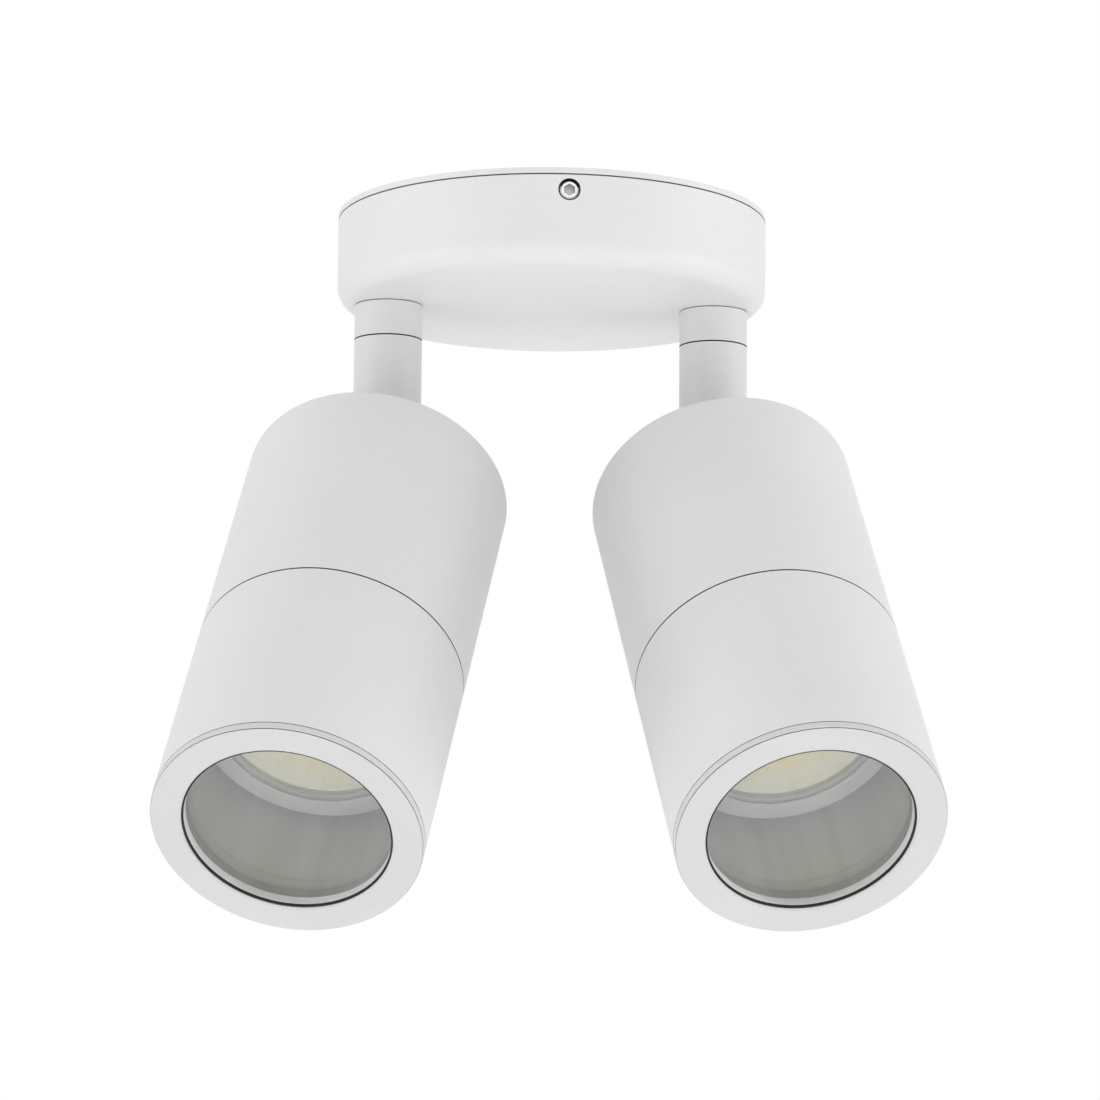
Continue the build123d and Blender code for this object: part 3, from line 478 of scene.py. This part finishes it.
def rubber():
    """Matte black rubber with a fine grain."""
    look = Look("black_rubber", grey(16), roughness=0.6)
    grain = look.noise(scale=3000)
    look.drive("Base Color", look.shades(grain, grey(12), grey(26)))
    look.drive("Roughness", look.spread(grain, low=0.52, high=0.7))
    look.bump(grain, strength=0.2, depth=0.00003)
    return look.material


def plastic(name, dark, pale, roughness, scale):
    """Moulded plastic or glazed ceramic with a soft grain, also used as the painted shade in gaps and grooves."""
    look = Look(name, pale, roughness)
    grain = look.noise(scale, detail=3)
    look.drive("Base Color", look.shades(grain, dark, pale))
    look.drive("Roughness", look.spread(grain, low=roughness - SMOOTHER, high=roughness + ROUGHER))
    look.bump(grain, strength=0.15, depth=0.00003)
    return look.material


def sleeve():
    """Woven heat-proof sleeve."""
    look = Look("lead_sleeve", tone(226, 225, 218), roughness=0.75)
    wave = look.tree.nodes.new("ShaderNodeTexWave")
    wave.bands_direction = "DIAGONAL"
    wave.inputs["Scale"].default_value = 900
    look.link(look.place, wave.inputs["Vector"])
    weave = wave.outputs["Fac"]
    colour = look.shades(weave, tone(205, 203, 194), tone(232, 231, 225), start=0, end=1)
    look.drive("Base Color", colour)
    look.bump(weave, strength=0.4, depth=0.00006)
    return look.material


def clear_glass():
    """Clear glass that lets the studio's light through to what is behind it."""
    look = Look("clear_glass", grey(252), roughness=0.0)
    look.set("Transmission Weight", 1.0)
    look.set("IOR", 1.5)
    smears = look.noise(scale=90, detail=3)
    look.drive("Roughness", look.spread(smears, low=0.0, high=0.02, start=0.45, end=0.8))
    path = look.tree.nodes.new("ShaderNodeLightPath")
    clear = look.tree.nodes.new("ShaderNodeBsdfTransparent")
    choice = look.tree.nodes.new("ShaderNodeMixShader")
    output = look.tree.nodes["Material Output"]
    look.link(path.outputs["Is Shadow Ray"], choice.inputs["Fac"])
    look.link(look.shader.outputs["BSDF"], choice.inputs[1])
    look.link(clear.outputs["BSDF"], choice.inputs[2])
    look.link(choice.outputs["Shader"], output.inputs["Surface"])
    return look.material


def lamp_glass(name, matrix):
    """Pressed reflector glass, grey with faint arcs about its axis."""
    look = Look(name, tone(214, 214, 212), roughness=0.2)
    arcs = look.noise(scale=1500, place=look.rings(matrix))
    dark, pale = tone(146, 147, 144), tone(238, 238, 236)
    look.drive("Base Color", look.shades(arcs, dark, pale, start=0.42, end=0.58))
    look.drive("Roughness", look.spread(arcs, low=0.12, high=0.3))
    look.bump(arcs, strength=0.2, depth=0.00004)
    look.coat(weight=0.5, roughness=0.05)
    return look.material


def lens_cream(name, matrix, rim):
    """Frosted cream lens, warmer over the light source in its middle, with a faint painted glow."""
    look = Look(name, tone(240, 236, 214), roughness=0.3)
    mottle = look.noise(scale=260, detail=3)
    share = look.math("DIVIDE", look.radius(matrix), rim)
    cream = look.ramp(look.math("ADD", share, look.spread(mottle, low=-0.1, high=0.1)), [
        (0, tone(255, 236, 150)),
        (0.36, tone(254, 238, 170)),
        (0.6, tone(248, 244, 214)),
        (1, tone(244, 243, 228)),
    ])
    look.drive("Base Color", cream)
    # Painted light: the lens glows in its own colour
    look.drive("Emission Color", cream)
    look.set("Emission Strength", LENS_PAINTED_GLOW)
    look.drive("Roughness", look.spread(mottle, low=0.22, high=0.36))
    look.coat(weight=0.5, roughness=0.08)
    return look.material


PAINT = powder_coat("powder_coat", HEAD_LEVEL)
# The bezels' darker coat is painted shade
BEZEL_SHADED_PAINT = powder_coat("bezel_shaded_coat", BEZEL_SHADED_LEVEL)
# Painted shade for the narrow gaps and grooves of the turned pieces
SHADOW = plastic("gap_shadow", grey(62), grey(78), roughness=0.6, scale=400)
STEEL = plated_steel("plated_steel")
NYLON = plastic("nylon", tone(214, 212, 204), tone(226, 224, 217), roughness=0.45, scale=400)
CERAMIC = plastic("glazed_ceramic", tone(228, 226, 219), tone(238, 237, 231), roughness=0.15, scale=200)

NODE_LOOKS = {
    "white_paint": PAINT,
    "plated_steel": STEEL,
    "bare_aluminium": STEEL,
    "brass": brass(),
    "black_rubber": rubber(),
    "lead_sleeve": sleeve(),
    "clear_glass": clear_glass(),
    "lamp_bowl": CERAMIC,
    "lamp_lens": NYLON,
    "terminal_plastic": NYLON,
    "holder_ceramic": CERAMIC,
}

# Dark and pale tones of the bare metal in each head
TUBE_TONES = tone(188, 190, 195), tone(202, 204, 209)
LAMP_RING_TONES = tone(240, 240, 239), tone(252, 252, 251)
GLASS_RING_TONES = grey(226), grey(240)


# Carried-over nodes


def dress(node, look):
    """Gives a carried-over node one look all over."""
    materials = frame["nodes"][node].data.materials
    materials.clear()
    materials.append(look)


def dress_nodes():
    """Gives each carried-over node the look of its slot."""
    for entry in frame["record"]["subparts"]:
        dress(entry["node"], NODE_LOOKS[entry["material_slot"]])


def shade_canopy():
    """Paints shade into the gap between the canopy and the plate and into the canopy's two screw holes, on the
    lighter painted-light coat.
    """
    upright = Matrix()
    canopy = Profile("canopy", upright)
    notch = canopy.levels(canopy.outer)[1]
    outside = (canopy.at(canopy.high)[1] - NEAR, FAR)
    screws = screw_matrix()
    hole = min(r for r, h in Profile("canopy", screws).points)
    # The lighter coat of the canopy and plate is painted light, and the gaps in it are painted shade
    dress("canopy", powder_coat("canopy_lit_coat", CANOPY_LIT_LEVEL, [
        (upright, (notch - NEAR, FAR), outside, RIM_GAP_SHADE_LEVEL),
        (screws, EVERYWHERE, (0, hole + NEAR), SCREW_HOLE_SHADE_LEVEL),
    ]))
    dress("mounting_plate", powder_coat("mounting_plate_lit_coat", CANOPY_LIT_LEVEL, [
        (upright, (-FAR, canopy.high + NEAR), outside, RIM_GAP_SHADE_LEVEL),
    ]))


def shade_sockets():
    """Paints shade into the hex sockets of the grub screws."""
    matrix = screw_matrix()
    screws = Profile("grub_screws", matrix)
    face = screws.high - NEAR
    socket = max(r for r, h in screws.points if abs(h) < face and r < screws.outer * SOCKET_SHARE)
    dress("grub_screws", plated_steel("grub_screw_zinc", [
        (matrix, (-face, face), (0, socket + NEAR), SOCKET_SHADE_LEVEL),
    ]))


def shade_arm(side):
    """Paints shade onto the top of the stem, under the collar, and into the head's seam."""
    stem = side + "_stem"
    stem_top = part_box(stem)[1].z
    dress(stem, powder_coat(stem + "_coat", HEAD_LEVEL, [
        (Matrix(), (stem_top - NEAR, FAR), EVERYWHERE, STEM_GAP_SHADE_LEVEL),
    ]))
    matrix = head_matrix(side)
    housing = Profile(side + "_rear_housing", matrix)
    seam = Profile(side + "_front_tube", matrix).low
    spigot = housing.at(housing.high)[1]
    dress(side + "_rear_housing", powder_coat(side + "_rear_housing_coat", HEAD_LEVEL, [
        (matrix, (seam - NEAR, FAR), (spigot + NEAR, FAR), SEAM_GAP_SHADE_LEVEL),
    ]))


# Turned pieces


def build_collar(side):
    """A plain ring with a rebate at its top, with painted shade in the rebate and underneath."""
    node = side + "_collar"
    matrix = Matrix.Translation(Vector(joint(side + "_swivel")["pos_m"]))
    collar = Profile(node, matrix)
    shoulder = collar.high - COLLAR_REBATE
    neck = collar.outer - COLLAR_REBATE
    corners = [
        (collar.inner, collar.low, 0), (collar.outer, collar.low, 0), (collar.outer, shoulder, 0),
        (neck, shoulder, 0), (neck, collar.high, 0), (collar.inner, collar.high, 0),
    ]

    def material_of(r, h):
        return 1 if h > shoulder - TINY or h < collar.low + TINY else 0

    turn(node, rounded(corners), matrix, "base", [PAINT, SHADOW], material_of)


def build_front_tube(side, matrix):
    """Painted outside, bare metal inside, with painted shade in the seam and in the joint groove behind the bezel.
    """
    node = side + "_front_tube"
    tube = Profile(node, matrix)
    mouth_bore, front_outer = tube.at(tube.high)
    seat = tube.inner
    seat_back, mouth_floor = tube.levels(seat)
    bore = tube.at(seat_back)[1]
    rear_bore, rebate = tube.at(tube.low)
    step = tube.levels(bore)[0]
    rebate_top = tube.levels(tube.outer)[0]
    joint_floor = tube.high - JOINT_GROOVE
    joint_wall = front_outer - JOINT_GROOVE
    corners = [
        (mouth_bore, tube.high, 0), (joint_wall, tube.high, 0), (joint_wall, joint_floor, 0),
        (front_outer, joint_floor, 0), (tube.outer, rebate_top, TUBE_ROUND), (rebate, rebate_top, 0),
        (rebate, tube.low, 0), (rear_bore, tube.low, 0), (rear_bore, step, 0), (bore, step, 0),
        (bore, seat_back, 0), (seat, seat_back, 0), (seat, mouth_floor, 0),
        (mouth_bore, mouth_floor, 0),
    ]

    def material_of(r, h):
        if r < (bore + rebate) / 2:
            return 1
        in_seam = h < rebate_top + TINY and r < tube.outer - TUBE_ROUND
        in_joint = h > joint_floor - TINY
        return 2 if in_seam or in_joint else 0

    looks = [PAINT, drawn_metal(side + "_tube_inside", *TUBE_TONES, matrix), SHADOW]
    turn(node, rounded(corners), matrix, side + "_head", looks, material_of)


def build_bezel(side, matrix):
    """A band with a stepped face, a bevelled opening and a skirt in the tube's mouth. Its darker coat and the dark
    wall of the step are painted shade.
    """
    node = side + "_bezel"
    ring = Profile(node, matrix)
    opening = ring.inner
    bevel, face_edge = ring.at(ring.high)
    skirt_bore, skirt = ring.at(ring.low)
    band_back = ring.levels(ring.outer)[0]
    lip_back, bevel_back = ring.levels(opening)
    band_front = ring.high - FACE_STEP
    corners = [
        (bevel, ring.high, BEVEL_ROUND), (face_edge, ring.high, 0), (face_edge, band_front, 0),
        (ring.outer, band_front, BAND_ROUND), (ring.outer, band_back, 0), (skirt, band_back, 0),
        (skirt, ring.low, SKIRT_ROUND), (skirt_bore, ring.low, SKIRT_ROUND),
        (skirt_bore, lip_back, 0), (opening, lip_back, 0), (opening, bevel_back, 0),
    ]

    def material_of(r, h):
        # Painted shade on the wall of the step at the face's edge
        return 1 if abs(r - face_edge) < TINY and h > band_front else 0

    # The bezel's darker coat is painted shade
    looks = [BEZEL_SHADED_PAINT, SHADOW]
    turn(node, rounded(corners), matrix, side + "_head", looks, material_of)


def build_lamp_lens(side, matrix):
    """A flat back and a domed front."""
    node = side + "_lamp_lens"
    lens = Profile(node, matrix)
    rim = lens.outer
    rim_top = lens.levels(rim)[1]
    rise = lens.high - rim_top
    outline = [Vector((0, lens.low)), Vector((rim, lens.low))]
    for k in range(LENS_RINGS + 1):
        share = 1 - k / LENS_RINGS
        outline.append(Vector((rim * share, rim_top + rise * (1 - share * share))))
    cream = lens_cream(side + "_lens_cream", matrix, rim)
    turn(node, outline, matrix, side + "_head", [cream])


def build_head(side):
    matrix = head_matrix(side)
    build_front_tube(side, matrix)
    build_bezel(side, matrix)
    build_lamp_lens(side, matrix)
    dress(side + "_lamp_body", lamp_glass(side + "_lamp_glass", matrix))
    dress(side + "_lamp_ring", turned_metal(side + "_ring_metal", *LAMP_RING_TONES, matrix))
    dress(side + "_glass_ring", turned_metal(side + "_glass_ring_metal", *GLASS_RING_TONES, matrix))


# Studio


def build_floor():
    bm = bmesh.new()
    bmesh.ops.create_grid(bm, x_segments=1, y_segments=1, size=FLOOR_SIZE / 2)
    mesh = bpy.data.meshes.new("floor")
    bm.to_mesh(mesh)
    bm.free()
    floor = bpy.data.objects.new("floor", mesh)
    floor.location.z = -FLOOR_DROP
    bpy.context.scene.collection.objects.link(floor)
    look = Look("floor_pale", grey(FLOOR_LEVEL), roughness=0.9)
    mesh.materials.append(look.material)


def build_world():
    """White where the camera, a reflection or the glass shows it, and soft light from above."""
    world = bpy.data.worlds.new("studio")
    bpy.context.scene.world = world
    world.use_nodes = True
    nodes = world.node_tree.nodes
    link = world.node_tree.links.new

    place = nodes.new("ShaderNodeTexCoord")
    parts = nodes.new("ShaderNodeSeparateXYZ")
    link(place.outputs["Generated"], parts.inputs["Vector"])
    strength = nodes.new("ShaderNodeMapRange")
    strength.interpolation_type = "SMOOTHSTEP"
    values = {
        "From Min": 0.0, "From Max": FULL_LIGHT_HEIGHT,
        "To Min": HORIZON_LIGHT, "To Max": ZENITH_LIGHT,
    }
    for socket, value in values.items():
        strength.inputs[socket].default_value = value
    link(parts.outputs["Z"], strength.inputs["Value"])
    lit = nodes["Background"]
    lit.inputs["Color"].default_value = (1, 1, 1, 1)
    link(strength.outputs["Result"], lit.inputs["Strength"])

    seen = nodes.new("ShaderNodeBackground")
    seen.inputs["Color"].default_value = (1, 1, 1, 1)
    path = nodes.new("ShaderNodeLightPath")
    white = path.outputs["Is Camera Ray"]
    for ray in ("Is Glossy Ray", "Is Transmission Ray"):
        either = nodes.new("ShaderNodeMath")
        either.operation = "MAXIMUM"
        link(white, either.inputs[0])
        link(path.outputs[ray], either.inputs[1])
        white = either.outputs["Value"]
    choice = nodes.new("ShaderNodeMixShader")
    link(white, choice.inputs["Fac"])
    link(lit.outputs["Background"], choice.inputs[1])
    link(seen.outputs["Background"], choice.inputs[2])
    link(choice.outputs["Shader"], nodes["World Output"].inputs["Surface"])


def build_softboxes():
    for name, (place, size, power) in SOFTBOXES.items():
        light = bpy.data.lights.new(name, "AREA")
        light.shape = "RECTANGLE"
        light.size, light.size_y = size
        light.energy = power
        box = bpy.data.objects.new(name, light)
        box.location = place
        box.visible_camera = False
        box.rotation_mode = "QUATERNION"
        box.rotation_quaternion = (CAMERA_TARGET - Vector(place)).to_track_quat("-Z", "Y")
        bpy.context.scene.collection.objects.link(box)


def build_camera():
    data = bpy.data.cameras.new("camera")
    data.sensor_width = SENSOR_WIDTH
    data.lens = SENSOR_WIDTH * FOCAL_PIXELS / PHOTO_PIXELS
    level = cos(CAMERA_ELEVATION)
    back = Vector((sin(CAMERA_AZIMUTH) * level, -cos(CAMERA_AZIMUTH) * level, sin(CAMERA_ELEVATION)))
    right = (-back).cross(Vector((0, 0, 1))).normalized()
    up = right.cross(-back)
    turned_right = cos(CAMERA_ROLL) * right + sin(CAMERA_ROLL) * up
    turned_up = cos(CAMERA_ROLL) * up - sin(CAMERA_ROLL) * right
    camera = bpy.data.objects.new("camera", data)
    matrix = Matrix((turned_right, turned_up, back)).transposed().to_4x4()
    matrix.translation = CAMERA_TARGET + back * CAMERA_DISTANCE
    camera.matrix_world = matrix
    bpy.context.scene.collection.objects.link(camera)
    bpy.context.scene.camera = camera


dress_nodes()
shade_canopy()
shade_sockets()
for side in SIDES:
    shade_arm(side)
    build_collar(side)
for side in SIDES:
    build_head(side)
build_floor()
build_world()
build_softboxes()
build_camera()
bpy.context.scene.view_settings.view_transform = "Standard"
